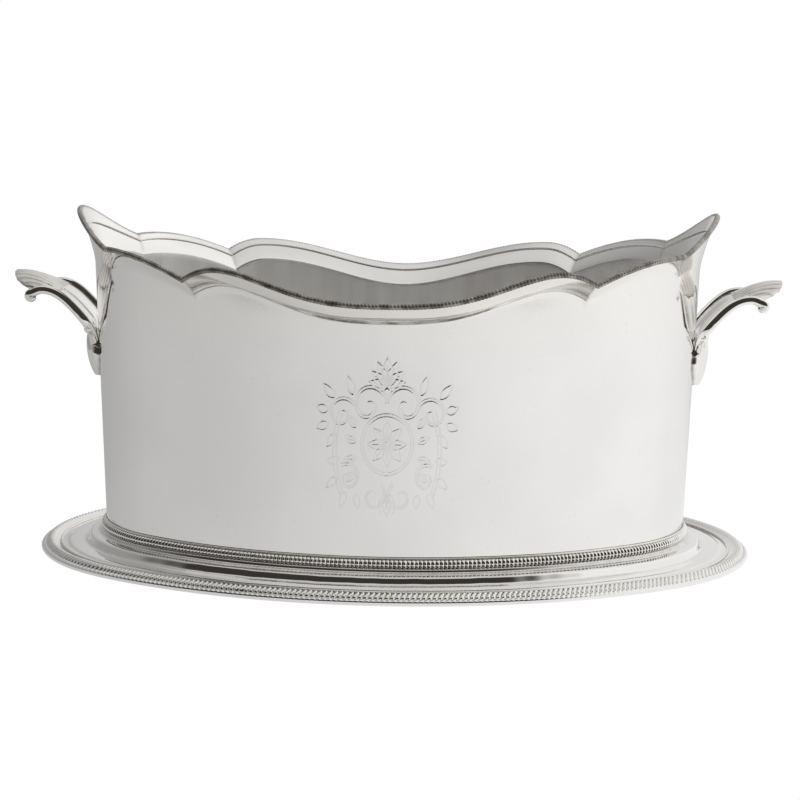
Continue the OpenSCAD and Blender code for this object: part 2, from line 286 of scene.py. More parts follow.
def polished_silver(name, tone, roughness, waviness=0.05, streaks=0.0, spotting=0.16, metal=1.0,
                    patina_and_shade_colour=(0.16, 0.135, 0.11)):
    """Silver plate: rubbed in fine swirls, a little wavy from the hammer, tarnished where the polish
    can't reach and painted with shade in a few places. waviness is the hammering, streaks is upright
    brushing."""
    material = bpy.data.materials.new(name)
    material.use_nodes = True
    tree = material.node_tree
    tree.nodes.clear()
    where, patina_and_shade, shader, out = add_nodes(
        tree, "TexCoord", "Attribute", "BsdfPrincipled", "OutputMaterial")
    patina_and_shade.attribute_name = "patina_and_shade"
    place = where.outputs["Object"]
    drawn_out = add_nodes(tree, "Mapping")[0]
    drawn_out.inputs["Scale"].default_value = (1, 1, 14)
    drawn_out.inputs["Rotation"].default_value = (0.4, 0.9, 0.2)
    tree.links.new(place, drawn_out.inputs[0])
    cloud, swirl, hammer, scratch, spots = add_nodes(tree, *["TexNoise"] * 5)
    for node, per_metre, detail, source in (
            (cloud, 14, 4, place), (swirl, 160, 6, place), (hammer, 22, 1, place),
            (scratch, 900, 3, drawn_out.outputs[0]), (spots, 420, 2, place)):
        node.inputs["Scale"].default_value = per_metre
        node.inputs["Detail"].default_value = detail
        tree.links.new(source, node.inputs["Vector"])

    clouded = tuple(channel * 0.955 for channel in tone)
    clean = blend(tree, ramp(tree, cloud.outputs["Fac"], [(0.35, 0.0), (0.7, 1.0)]), tone, clouded)
    specks = ramp(tree, spots.outputs["Fac"], [(0.68, 0.0), (0.8, spotting)])
    clean = blend(tree, specks, clean, (0.52, 0.47, 0.40), "MULTIPLY")
    if streaks:
        brushed, upright = add_nodes(tree, "TexNoise", "Mapping")
        upright.inputs["Scale"].default_value = (1, 1, 0.06)
        tree.links.new(place, upright.inputs[0])
        tree.links.new(upright.outputs[0], brushed.inputs["Vector"])
        brushed.inputs["Scale"].default_value = 60
        brushed.inputs["Detail"].default_value = 2
        brushing = ramp(tree, brushed.outputs["Fac"], [(0.35, 0.0), (0.65, streaks)])
        clean = blend(tree, brushing, clean, (0.42, 0.40, 0.38))
    # Darkening towards the tarnish colour and a duller finish: tarnish in hollows, and painted shade in a
    # few places.
    patina_and_shade_share = arithmetic(tree, "MULTIPLY", patina_and_shade.outputs["Fac"],
                      ramp(tree, swirl.outputs["Fac"], [(0.3, 0.55), (0.7, 1.0)]))
    tree.links.new(blend(tree, patina_and_shade_share, clean, patina_and_shade_colour), shader.inputs["Base Color"])
    rubbed = ramp(tree, swirl.outputs["Fac"], [(0.3, roughness * 0.8), (0.75, roughness * 1.35)])
    tree.links.new(blend(tree, patina_and_shade_share, rubbed, 0.45), shader.inputs["Roughness"])
    shader.inputs["Metallic"].default_value = metal

    wavy, fine = add_nodes(tree, "Bump", "Bump")
    wavy.inputs["Strength"].default_value = waviness
    wavy.inputs["Distance"].default_value = 4 * MM
    fine.inputs["Strength"].default_value = 0.03
    fine.inputs["Distance"].default_value = 0.2 * MM
    tree.links.new(hammer.outputs["Fac"], wavy.inputs["Height"])
    tree.links.new(scratch.outputs["Fac"], fine.inputs["Height"])
    tree.links.new(wavy.outputs[0], fine.inputs["Normal"])
    tree.links.new(fine.outputs[0], shader.inputs["Normal"])
    tree.links.new(shader.outputs[0], out.inputs[0])
    return material


foot_silver = polished_silver("foot_silver", (0.93, 0.92, 0.90), 0.025, waviness=0.12)
SEAT = COLLAR_FOOT / MM
foot_top = [(-9, SEAT), (2.9, SEAT), (3.4, SEAT - 0.5), (3.7, SEAT - 1.9), (4.3, SEAT - 2.6),
            (6.4, SEAT - 2.9), (9.4, SEAT - 3.2), (10.3, SEAT - 3.5), (10.8, SEAT - 4.2),
            (12.0, SEAT - 7.4), (12.7, 5.8), (13.9, 5.5), (15.4, 5.42), (19, 5.4), (23.2, 5.35),
            (23.9, 5.15), (24.8, 4.65), (25.6, 4.5), (29.5, 4.45), (35, 4.0), (39.8, 3.4), (40, 0.3),
            (39.4, 0.02)]
foot_under = [(35.2, 0.02), (34.4, 0.5), (32.8, 1.7), (15, 3.4), (11.4, SEAT - 9.4), (9.6, SEAT - 7.4),
              (5, SEAT - 6.2), (2, SEAT - 4.4), (1.2, SEAT - 1.8), (-9, SEAT - 1.8)]
bm = bmesh.new()
oval_band(bm, [(out * MM, up * MM) for out, up in foot_top + foot_under], 80, 70)
points = points_of(bm)
out, run = on_oval(points[:, 0], points[:, 1])
bearing = np.arctan2(points[:, 1], points[:, 0])
HAMMERED = 0.07 * MM
uneven = (np.sin(23 * bearing) + np.sin(41 * bearing + 1.3) + np.sin(67 * bearing + 0.5)) * HAMMERED
uneven *= np.clip((points[:, 2] / MM - 4.3) / 2, 0, 1) * np.clip((out / MM - 5) / 4, 0, 1)
x, y = from_oval(run, out + uneven, *quarter_of(points))
put_points(bm, np.stack([x, y, points[:, 2] - uneven * 0.5], 1))
under_collar = np.exp(-((out - 3.6 * MM) / (0.9 * MM)) ** 2)
under_step = np.exp(-((out - 12.9 * MM) / (0.6 * MM)) ** 2)
foot = finish_piece(bm, "foot", foot_silver, "plain_silver", "base_plate",
                    patina_and_shade=under_collar * 0.35 + under_step * 0.175)
rounding = foot.modifiers.new("rounded steps", "SUBSURF")
rounding.levels = rounding.render_levels = 1


# The border of the foot: a raised strip of slanting gadroons, cast and soldered to the flange,
# with a fine reed inside it and a rolled edge outside it, over which the gadroons run out.
GADROON_PITCH = 2.5 * MM
BORDER_PITCH = 2.7 * MM


def gadroon_ring(profile, steps_per_lobe, pitch):
    """A ring with enough stations for its lobes: its bmesh, points, and for each point how far out
    of the oval it lies, its run, and its place along the lobes."""
    bm = bmesh.new()
    lobes = round(QUARTER_RUN / pitch) * 4
    quarter_steps = lobes * steps_per_lobe // 4
    end_steps = round(quarter_steps * END_RUN / QUARTER_RUN)
    oval_band(bm, [(out * MM, up * MM) for out, up in profile], end_steps, quarter_steps - end_steps)
    points = points_of(bm)
    out, run = on_oval(points[:, 0], points[:, 1])
    along = np.where(points[:, 0] * points[:, 1] > 0, run, 2 - run) * lobes / 4
    return bm, points, out, run, along


def lobe(phase):
    """Height of round lobes side by side, 0 in the grooves and 1 on the crests."""
    return np.sqrt(np.clip(1 - (2 * (phase - np.floor(phase)) - 1) ** 2, 0, 1))


LOBE_STEPS = 8
LOBE_SLANT = 0.25
border_profile = [(29.5, 4.35), (30.4, 4.75), (31.8, 5.3), (33.2, 5.95), (34.3, 6.7), (35.3, 7.15),
                  (36.4, 7.15), (37.5, 6.6), (38.4, 5.8), (39.1, 4.9), (39.4, 3.9), (34.0, 3.7)]
bm, points, out, run, along = gadroon_ring(border_profile, LOBE_STEPS, BORDER_PITCH)
hump = lobe(along + LOBE_SLANT * out / MM)
raised = np.clip(out / MM - 34.0, 0, 1) * (points[:, 2] > 4.2 * MM)
lower = raised * (1 - hump) * 1.5 * MM
x, y = from_oval(run, out - lower * 0.3, *quarter_of(points))
put_points(bm, np.stack([x, y, points[:, 2] - lower], 1))
gadroon_silver = polished_silver("gadroon_silver", (0.93, 0.91, 0.88), 0.04)
finish_piece(bm, "gadrooned_border", gadroon_silver, "bright_silver", "base_border",
             patina_and_shade=raised * np.clip(1 - hump * 1.25, 0, 1))


def round_section(out, up, radius, sides):
    """A round profile of (out, up) points."""
    return [(out + radius * math.cos(a), up + radius * math.sin(a))
            for a in np.linspace(0, 2 * math.pi, sides, endpoint=False)]


REED_AT, REED_RADIUS = (29.0, 4.9), 0.78
bm = bmesh.new()
oval_band(bm, [(out * MM, up * MM) for out, up in round_section(*REED_AT, REED_RADIUS, 10)], 70, 50)
aged_silver = polished_silver("aged_silver", (0.86, 0.83, 0.79), 0.08)
reed_points = points_of(bm)
finish_piece(bm, "border_reed", aged_silver, "aged_silver", "base_reed",
             patina_and_shade=np.clip((5.1 * MM - reed_points[:, 2]) / (0.8 * MM), 0, 1) * 0.5)

ROLL_AT, ROLL_RADIUS = (39.88, 2.2), 2.08
roll = round_section(*ROLL_AT, ROLL_RADIUS, 18)
bm, points, out, run, along = gadroon_ring(roll, LOBE_STEPS, BORDER_PITCH)
round_roll = math.pi / 2 - np.arctan2(points[:, 2] / MM - ROLL_AT[1], out / MM - ROLL_AT[0])
hump = lobe(along + LOBE_SLANT * (ROLL_AT[0] + ROLL_RADIUS * round_roll))
raised = np.clip((points[:, 2] / MM - 3.2) / 0.8, 0, 1)
shrink = 1 - raised * (1 - hump) * 0.5
x, y = from_oval(run, (ROLL_AT[0] + (out / MM - ROLL_AT[0]) * shrink) * MM, *quarter_of(points))
up = (ROLL_AT[1] + (points[:, 2] / MM - ROLL_AT[1]) * shrink) * MM
put_points(bm, np.stack([x, y, up], 1))
edge_silver = polished_silver("edge_silver", (0.94, 0.93, 0.91), 0.03)
finish_piece(bm, "rolled_edge", edge_silver, "bright_silver", "base_roll",
             patina_and_shade=raised * np.clip(1 - hump * 1.5, 0, 1) * 0.7)


# The collar: a cast strip of upright gadroons soldered round the bottom of the wall, with a plain
# wire above it that hides the joint. Tarnish stays between the lobes.
collar_profile = [(0.1, SEAT + 0.02), (2.3, SEAT + 0.02), (2.9, SEAT + 0.5), (3.15, SEAT + 1.2),
                  (3.18, SEAT + 2.1), (3.05, SEAT + 3.0), (2.7, SEAT + 3.8), (2.15, SEAT + 4.5),
                  (1.5, SEAT + 4.95), (0.9, SEAT + 5.15), (0.1, SEAT + 5.15)]
bm, points, out, run, along = gadroon_ring(collar_profile, LOBE_STEPS, GADROON_PITCH)
hump = lobe(along + 0.04 * np.sin(along * 0.7) + 0.05 * np.sin(along * 0.23))
raised = np.clip(out / (2.4 * MM), 0, 1)
x, y = from_oval(run, out - raised * (1 - hump) * 1.4 * MM, *quarter_of(points))
put_points(bm, np.stack([x, y, points[:, 2]], 1))
collar_silver = polished_silver("collar_silver", (0.93, 0.91, 0.88), 0.035)
finish_piece(bm, "gadrooned_collar", collar_silver, "bright_silver", "collar",
             patina_and_shade=raised * np.clip(1 - hump * 1.35, 0, 1))

WIRE_FOOT = COLLAR_TOP / MM
wire_profile = [(0.1, WIRE_FOOT), (1.2, WIRE_FOOT), (1.42, WIRE_FOOT + 0.3), (1.42, WIRE_FOOT + 0.7),
                (1.15, WIRE_FOOT + 1.05), (0.7, WIRE_FOOT + 1.2), (0.12, WIRE_FOOT + 1.25)]
bm = bmesh.new()
oval_band(bm, [(out * MM, up * MM) for out, up in wire_profile], 70, 50)
out = on_oval(*points_of(bm)[:, :2].T)[0]
finish_piece(bm, "collar_wire", aged_silver, "aged_silver", "collar_wire",
             patina_and_shade=np.clip(1.1 - out / MM, 0, 1))


# The wall: one tapered oval band of heavy plate, polished outside and brushed upright inside.
# The front carries an engraved device, here a symmetrical leaf scroll.
WALL_FLARE = 5.6 * MM
FLARE_RISE = 161 * MM
LIP_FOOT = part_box("body_wall")[1][2]
WALL_THICK = 1.6 * MM


def wall_out(z):
    """How far the outside of the wall stands out from the oval at a height."""
    return WALL_FLARE * (z - COLLAR_TOP) / FLARE_RISE


def curl(x, z, start_radius, end_radius, start, sweep, count=26):
    """A spiral line round (x, z), angles in degrees."""
    t = np.linspace(0, 1, count)
    radius = start_radius + (end_radius - start_radius) * t
    angle = np.radians(start + sweep * t)
    return np.stack([x + radius * np.cos(angle), z + radius * np.sin(angle)], 1)


def leaf(x, z, length, lean, width, veins=True):
    """A pointed leaf from its stalk at (x, z): two curved edges and a middle vein."""
    t = np.linspace(0, 1, 15)
    along = Vector((math.sin(math.radians(lean)), math.cos(math.radians(lean))))
    bow = np.sin(np.pi * t ** 0.8) * width / 2
    lines = [np.stack([x + along.x * length * t + hand * along.y * bow,
                       z + along.y * length * t - hand * along.x * bow], 1) for hand in (-1, 1)]
    if veins:
        lines.append(np.stack([x + along.x * length * t[1:11], z + along.y * length * t[1:11]], 1))
    return lines


# The right half of the device, in millimetres from the middle of the wall and from the table.
half = []
for lean, length in ((0, 17), (24, 16), (49, 14), (74, 12)):
    half += leaf(0, 116, length, lean, 6.5, veins=lean < 60)
half += [curl(12, 106, 13, 2.2, 172, -450, 50), curl(12, 106, 11.4, 3.4, 172, -330, 40)]
half += [curl(29, 101, 11, 2.0, 165, -430, 50), curl(29, 101, 9.4, 3.2, 165, -330, 40)]
for lean, x, z, length in ((18, 22, 112, 11), (44, 34, 110, 11), (76, 38, 103, 8), (112, 38, 96, 8),
                           (140, 33, 90, 9)):
    half += leaf(x, z, length, lean, 4.6, veins=False)
half += [curl(-26, 78, 62, 60, 24, -46, 30), curl(-26, 78, 59.5, 58, 23, -44, 30)]
half += [curl(25, 66, 9, 1.8, 60, 400, 44), curl(25, 66, 7.4, 2.6, 60, 320, 36)]
for lean, x, z, length in ((98, 31, 76, 8), (128, 32, 66, 9), (160, 27, 58, 9), (190, 20, 57, 8)):
    half += leaf(x, z, length, lean, 4.2, veins=False)
half += [curl(0, 85, 17, 17, 90, -180, 40), curl(0, 85, 15.4, 15.4, 90, -180, 40)]
for lean in (0, 45, 90, 135, 180):
    half += leaf(1.2 * math.sin(math.radians(lean)), 85 + 1.2 * math.cos(math.radians(lean)),
                 11.5, lean, 5.4)
for lean, z in ((38, 94), (68, 86), (98, 77), (128, 69)):
    half += leaf(20, z, 8, lean, 3.8)
half += [curl(9, 56, 9.5, 1.8, 125, 380, 40), curl(9, 56, 8, 2.6, 125, 300, 34)]
for lean, length in ((180, 13), (158, 12)):
    half += leaf(0, 58, length, lean, 5.5)
half = [line * (0.92, 1.1) - (0, 4.5) for line in half]
device = half + [line * (-1, 1) for line in half]
segments = np.concatenate([np.concatenate([line[:-1], line[1:]], 1) for line in device])


CUT_HALF_WIDTH = 0.62
CUT_DEPTH = 0.13 * MM
REACH_OF_CUT = 4


def cut_depth(x, z):
    """How near each point lies to a cut of the graver, from 0 to 1 on the line."""
    nearest = np.full(len(x), 9.0)
    place = np.stack([x, z], 1) / MM
    for ax, az, bx, bz in segments:
        near = ((np.abs(place[:, 0] - (ax + bx) / 2) < REACH_OF_CUT)
                & (np.abs(place[:, 1] - (az + bz) / 2) < REACH_OF_CUT))
        if not near.any():
            continue
        dx, dz = bx - ax, bz - az
        px, pz = place[near, 0] - ax, place[near, 1] - az
        t = np.clip((px * dx + pz * dz) / (dx * dx + dz * dz + 1e-9), 0, 1)
        nearest[near] = np.minimum(nearest[near], np.hypot(px - t * dx, pz - t * dz))
    return np.clip(1 - nearest / CUT_HALF_WIDTH, 0, 1)


PATCH_FOOT, PATCH_TOP, PATCH_HALF = 42 * MM, 144 * MM, 44.5 * MM
PATCH_STEPS = 203
heights = np.concatenate([[COLLAR_FOOT, COLLAR_TOP], np.linspace(COLLAR_TOP, PATCH_FOOT - 2 * MM, 8)[1:],
                          np.linspace(PATCH_FOOT, PATCH_TOP, PATCH_STEPS),
                          np.linspace(PATCH_TOP + 2 * MM, LIP_FOOT, 6)])
wall_profile = [(max(0, wall_out(z)), z) for z in heights]
wall_profile += [(max(0, wall_out(z)) - WALL_THICK, z) for z in np.linspace(LIP_FOOT, COLLAR_FOOT, 14)]
patch_run = SIDE_RADIUS * math.asin(PATCH_HALF / SIDE_RADIUS) / QUARTER_RUN
bm = bmesh.new()
oval_band(bm, wall_profile, 28, 26, front=np.linspace(-patch_run, patch_run, PATCH_STEPS))
points = points_of(bm)
out, run = on_oval(points[:, 0], points[:, 1])
front = ((points[:, 1] < 0) & (np.abs(points[:, 0]) < PATCH_HALF + 0.5 * MM)
         & (out > wall_out(points[:, 2]) - WALL_THICK / 4))
cut = np.zeros(len(points))
cut[front] = cut_depth(points[front, 0], points[front, 2])
x, y = from_oval(run, out - cut * CUT_DEPTH, *quarter_of(points))
put_points(bm, np.stack([x, y, points[:, 2]], 1))
wall_silver = polished_silver("wall_silver", (0.93, 0.92, 0.905), 0.035, waviness=0.03)
brushed_silver = polished_silver("brushed_silver", (0.98, 0.97, 0.95), 0.36,
                                 waviness=0.02, streaks=0.22, spotting=0.0, metal=0.45)
inside = out < wall_out(points[:, 2]) - WALL_THICK / 2
finish_piece(bm, "engraved_wall", wall_silver, "plain_silver", "body_wall", patina_and_shade=cut * 0.16,
             inside=inside, lining=brushed_silver)


# The floor of the bucket: a flat oval plate let into the wall, dull from ice and bottles.
FLOOR_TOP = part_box("body_floor")[1][2]
bm = bmesh.new()
FLOOR_EDGE = -WALL_THICK - 0.02 * MM
dish = [(FLOOR_EDGE, COLLAR_FOOT), (FLOOR_EDGE, FLOOR_TOP), (-8 * MM, FLOOR_TOP - 0.1 * MM),
        (-40 * MM, FLOOR_TOP - 0.3 * MM), (-70 * MM, FLOOR_TOP - 0.3 * MM)]
oval_band(bm, dish, 40, 30, closed=False)
bmesh.ops.holes_fill(bm, edges=[e for e in bm.edges if e.is_boundary], sides=0)
inner_silver = polished_silver("inner_silver", (0.86, 0.84, 0.81), 0.2, waviness=0.3)
finish_piece(bm, "bucket_floor", inner_silver, "aged_silver", "body_floor")


# The lip: the top of the wall drawn out into scalloped lobes that flare over the rim, with a peak
# at each end and a crease at every cusp where two lobes meet.
RIM = COLLAR_TOP + 155 * MM
EDGE_WIRE = 3.6 * MM
LIP_FLARE = 18.6 * MM
HUMP_RISE, CUSP_RISE, END_RISE, PEAK_RISE = 18 * MM, 11 * MM, 24.6 * MM, 46.5 * MM
SIDE_SWELL = 4.6 * MM
END_CUSP, MAIN_CUSP, HUMP_AT = 0.238, 0.525, 0.82
MAIN_OUT, CREST_OUT, CUSP_OUT, PEAK_OUT = (LIP_FLARE - d * MM for d in (2.4, 5.6, 12, 6.2))


def ease(t):
    """A soft step from 0 to 1."""
    return (1 - np.cos(np.pi * np.clip(t, 0, 1))) / 2


def lip_rise(run, back):
    """Height of the edge over the middle of the long sides; back is true on the far half."""
    q = np.clip((1 - run) / (1 - MAIN_CUSP), 0, 1)
    w = np.clip((MAIN_CUSP - run) / (MAIN_CUSP - END_CUSP), 0, 1)
    e = np.clip(run / END_CUSP, 0, 1)
    hang = np.where(back, 0.95, 1.45)
    long_lobe = np.where(q < HUMP_AT, HUMP_RISE * ease((q / HUMP_AT) ** hang),
                         HUMP_RISE - (HUMP_RISE - CUSP_RISE) * ((q - HUMP_AT) / (1 - HUMP_AT)) ** 2)
    side_lobe = CUSP_RISE + (END_RISE - CUSP_RISE) * w + SIDE_SWELL * 4 * w * (1 - w)
    end_lobe = END_RISE + (PEAK_RISE - END_RISE) * (ease(1 - e) + 1 - e ** 2) / 2
    return np.where(run >= MAIN_CUSP, long_lobe, np.where(run >= END_CUSP, side_lobe, end_lobe))


def lip_out(run):
    """How far the edge flares past the wall."""
    q = np.clip((1 - run) / (1 - MAIN_CUSP), 0, 1)
    w = np.clip((MAIN_CUSP - run) / (MAIN_CUSP - END_CUSP), 0, 1)
    e = np.clip(run / END_CUSP, 0, 1)
    long_lobe = MAIN_OUT + (LIP_FLARE - MAIN_OUT) * ease((1 - q) * 2.2)
    swell = (CREST_OUT - (MAIN_OUT + CUSP_OUT) / 2) * 4 * w * (1 - w)
    side_lobe = MAIN_OUT + (CUSP_OUT - MAIN_OUT) * w + swell
    end_lobe = CUSP_OUT + (PEAK_OUT - CUSP_OUT) * ease(1 - e)
    return np.where(run >= MAIN_CUSP, long_lobe, np.where(run >= END_CUSP, side_lobe, end_lobe))


def lip_edge(run, back):
    """Distance out and height of the middle of the edge wire."""
    return wall_out(RIM) + lip_out(run) - EDGE_WIRE / 2, RIM + lip_rise(run, back) - EDGE_WIRE / 2


def flare_height(run):
    """How tall the flared part is: most at the end peaks."""
    return 13 * MM + 22 * MM * np.where(run < END_CUSP, ease(1 - run / END_CUSP), 0)


def front_middle(run, back):
    """1 along the middle of the front, where the flare is beaten in under the edge."""
    return np.clip((run - MAIN_CUSP - 0.12) / 0.12, 0, 1) * ~back


FLARE_ROOT = 0.3


def lip_line(run, back, t):
    """Outside of the lip: t from 0 at its foot, through the root of the flare, to 1 at the edge."""
    edge_out, edge_up = lip_edge(run, back)
    root = edge_up - flare_height(run)
    below = np.clip(t / FLARE_ROOT, 0, 1)
    f = np.clip((t - FLARE_ROOT) / (1 - FLARE_ROOT), 0, 1)
    up = np.where(t < FLARE_ROOT, LIP_FOOT + (root - LIP_FOOT) * below, root + flare_height(run) * f)
    straight = wall_out(up)
    flared = wall_out(root) + (edge_out - wall_out(root)) * f ** 1.4
    crease = 0.42 * MM * np.exp(-((up - root - 2.6 * MM) / (1.1 * MM)) ** 2)
    crease *= (0.7 + 0.3 * np.sin(run * 47)) * front_middle(run, back)
    return np.where(t < FLARE_ROOT, straight, flared) + crease, up


bm = bmesh.new()
up_lip = np.concatenate([np.linspace(0, 0.25, 5), np.linspace(0.28, 0.5, 10),
                         np.linspace(0.55, 1, 11)])
blank = [(0, t) for t in up_lip] + [(-WALL_THICK, t) for t in up_lip[::-1]]
oval_band(bm, blank, 190, 175)
points = points_of(bm)
out, run = on_oval(points[:, 0], points[:, 1])
back = points[:, 1] > 0
t = points[:, 2]
lip_o, lip_u = lip_line(run, back, t)
ahead = lip_line(run, back, np.minimum(t + 0.01, 1))
behind = lip_line(run, back, np.maximum(t - 0.01, 0))
slope = np.stack([ahead[0] - behind[0], ahead[1] - behind[1]], 1)
slope /= np.linalg.norm(slope, axis=1)[:, None]
inside = out < -WALL_THICK / 2
lip_o = np.where(inside, lip_o - slope[:, 1] * WALL_THICK, lip_o)
lip_u = np.where(inside & (t > 0.001), lip_u + slope[:, 0] * WALL_THICK, lip_u)
x, y = from_oval(run, lip_o, *quarter_of(points))
put_points(bm, np.stack([x, y, lip_u], 1))
creases = sum(np.exp(-((run - cusp) / 0.006) ** 2) for cusp in (END_CUSP, MAIN_CUSP))
creases *= np.clip((t - 0.25) * 3, 0, 1)
broken = np.clip(0.6 + 0.5 * np.sin(run * 31 + 1.1 * np.sign(points[:, 0]))
                 + 0.3 * np.sin(run * 83), 0, 1)
# A dark band painted along the crease just above the flare's root, across the middle of the front and
# broken up along the run: a painted dark reflection.
painted_dark_reflection_in_crease = 1.7 * np.exp(-((t - 0.40) / 0.03) ** 2) * front_middle(run, back) * broken * ~inside
lip_silver = polished_silver("lip_silver", (0.94, 0.925, 0.90), 0.035, waviness=0.08)
finish_piece(bm, "scalloped_lip", lip_silver, "plain_silver", "lip",
             patina_and_shade=creases * 0.25 + np.clip(t - 0.95, 0, 1) * 5 + painted_dark_reflection_in_crease,
             inside=inside & (t < 0.33), lining=brushed_silver)


# The edge wire: gadrooned wire soldered along the lip, with a fine reed just inside it. Both
# follow every lobe and cusp of the edge.
EDGE_STRETCH = 1.14


def along_edge(bead_pitch, steps_per_bead, ring_points, radius, centre_line):
    """Takes a small ring round the oval and carries it onto a line of the lip."""
    ring = round_section(0, 0, radius / MM, ring_points)
    bm, points, out, run, along = gadroon_ring(ring, steps_per_bead, bead_pitch / EDGE_STRETCH)
    angle = np.arctan2(points[:, 2], out)
    hump = lobe(along + angle / (2 * math.pi))
    centre_out, centre_up = centre_line(run, points[:, 1] > 0)
    size = radius * (0.6 + 0.4 * hump)
    x, y = from_oval(run, centre_out + size * np.cos(angle), *quarter_of(points))
    put_points(bm, np.stack([x, y, centre_up + size * np.sin(angle)], 1))
    return bm, hump


bm, hump = along_edge(2.2 * MM, 7, 12, EDGE_WIRE / 2 - 0.02 * MM, lip_edge)
points = points_of(bm)
# The wire is painted darker all round, and darker still towards the middle of the front.
in_front = np.clip(1.45 - np.abs(points[:, 0]) / (150 * MM), 0, 1) ** 0.5
in_front *= np.clip(-points[:, 1] / (60 * MM), 0, 1)
darkened_more_in_front = 0.5 + 0.45 * in_front
wire_silver = polished_silver("wire_silver", (0.74, 0.71, 0.66), 0.12, patina_and_shade_colour=(0.065, 0.055, 0.045))
finish_piece(bm, "gadrooned_wire", wire_silver, "aged_silver", "lip_wire",
             patina_and_shade=np.maximum(np.clip(1 - hump * 1.2, 0, 1), darkened_more_in_front))


def reed_line(run, back):
    """Where the reed lies on the inside of the flare."""
    here, there = lip_line(run, back, 0.80), lip_line(run, back, 0.87)
    step = np.stack([there[0] - here[0], there[1] - here[1]])
    step /= np.linalg.norm(step, axis=0)
    lift = WALL_THICK + 0.3 * MM
    return here[0] - step[1] * lift, here[1] + step[0] * lift


bm, hump = along_edge(1.6 * MM, 5, 8, 0.75 * MM, reed_line)
finish_piece(bm, "lip_reed", lip_silver, "bright_silver", "lip_reed",
             patina_and_shade=np.clip(1 - hump * 1.6, 0, 1) * 0.5)


# The handles: one cast bracket soldered to each end. Two round rails rise from a leaf on the
# wall, carry a channelled strap between them and end in small scrolls under a fluted shell.
REACH_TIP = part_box("right_shell")[1][0]
TIP_UP = COLLAR_TOP + 160 * MM
RAIL = 5.6 * MM
RAIL_SIDE = 33 * MM - RAIL / 2
ARM_START = HALF_LENGTH + wall_out(TIP_UP - 40 * MM)
REACH = REACH_TIP - ARM_START
# Down the middle of a rail: share of the reach, and drop below the tip in millimetres.
arm_line = [(0.03, 52), (0.02, 47), (0.02, 42), (0.03, 36.8), (0.08, 31.2), (0.153, 26.2), (0.245, 20.8),
            (0.335, 16.3), (0.426, 13), (0.517, 11.2), (0.616, 11), (0.69, 12.6)]
arm = np.array([(ARM_START + share * REACH, TIP_UP - drop * MM) for share, drop in arm_line])


def smooth_line(knots, count):
    """A smooth curve through a few knots."""
    knots = np.array(knots)
    length = np.concatenate([[0], np.cumsum(np.linalg.norm(np.diff(knots[:, :3], axis=0), axis=1))])
    places = np.linspace(0, length[-1], count)
    tangents = np.gradient(knots, length, axis=0)
    index = np.clip(np.searchsorted(length, places, side="right") - 1, 0, len(knots) - 2)
    span = (length[index + 1] - length[index])[:, None]
    t = (places - length[index])[:, None] / span
    leaving = ((2 * t ** 3 - 3 * t ** 2 + 1) * knots[index]
               + (t ** 3 - 2 * t ** 2 + t) * span * tangents[index])
    return (leaving + (3 * t ** 2 - 2 * t ** 3) * knots[index + 1]
            + (t ** 3 - t ** 2) * span * tangents[index + 1])


def rail_lean(k):
    """How far a rail lies from the middle of the handle at a knot: they spread going up."""
    return RAIL_SIDE * (0.5 + 0.5 * float(ease(np.array((k - 0.5) / 4))))


SCROLL = 2.3 * MM
scroll_at = arm[-1] + np.array((1.2 * MM, -SCROLL - 0.4 * MM))
rail_knots = [(arm[k][0], rail_lean(k), arm[k][1], 1.0) for k in range(1, len(arm))]
for degrees in range(40, 400, 40):
    curl_radius = SCROLL * (1 - degrees / 560)
    heading = math.radians(degrees + 12)
    rail_knots.append((scroll_at[0] + curl_radius * math.sin(heading), RAIL_SIDE,
                       scroll_at[1] + curl_radius * math.cos(heading), 1 - degrees / 700))
rail_curve = smooth_line(rail_knots, 90)


def draw_rod(bm, line, radius, sides):
    """Extrudes a squarish round section along (x, y, z, size) points and closes its ends."""
    ring = bmesh.ops.create_circle(bm, cap_ends=True, segments=sides, radius=radius)["verts"]
    loop = list(bm.edges)
    squarish = [[math.copysign(abs(c / radius) ** 0.62, c) * radius for c in v.co.xy] for v in ring]
    section = [(over, beside * (1 - 0.13 * (1 + over / radius))) for over, beside in squarish]
    for k, point in enumerate(line):
        if k:
            made = bmesh.ops.extrude_edge_only(bm, edges=loop)["geom"]
            ring = [g for g in made if isinstance(g, bmesh.types.BMVert)]
            loop = [g for g in made if isinstance(g, bmesh.types.BMEdge)
                    and g.verts[0] in ring and g.verts[1] in ring]
        before, after = line[max(0, k - 1)], line[min(len(line) - 1, k + 1)]
        forward = (Vector(after[:3]) - Vector(before[:3])).normalized()
        upward = forward.cross(Vector((0, 1, 0))).normalized()
        sideways = upward.cross(forward).normalized()
        for vert, (over, beside) in zip(ring, section):
            vert.co = Vector(point[:3]) + (upward * over + sideways * beside) * point[3]
    bmesh.ops.contextual_create(bm, geom=loop)


def mirrored(bm, end, side=1):
    """Turns a shape of the right, back corner to another end or side."""
    bmesh.ops.scale(bm, vec=(end, side, 1), verts=bm.verts)


handle_silver = polished_silver("handle_silver", (0.93, 0.915, 0.89), 0.03)
shell_silver = polished_silver("shell_silver", (0.80, 0.775, 0.74), 0.1)
LEAF_TOP, LEAF_HIGH = TIP_UP - 40 * MM, 28.5 * MM
LEAF_WIDE = 23.76 * MM
LEAF_PROUD = 10 * MM
SHELL_START = ARM_START + 0.46 * REACH
SHELL_THICK = 2.2 * MM
SHELL_RIBS = 4.5
BOSS, SCROLL_EYE = 2.9 * MM, 1.7 * MM
STRAP_STEPS = 59
STRAP_SHEET, SHELL_SHEET = 2.0 * MM, 1.8 * MM
strap_line = smooth_line([(arm[k][0], rail_lean(k), arm[k][1], 0) for k in range(1, len(arm) - 1)],
                         STRAP_STEPS + 1)

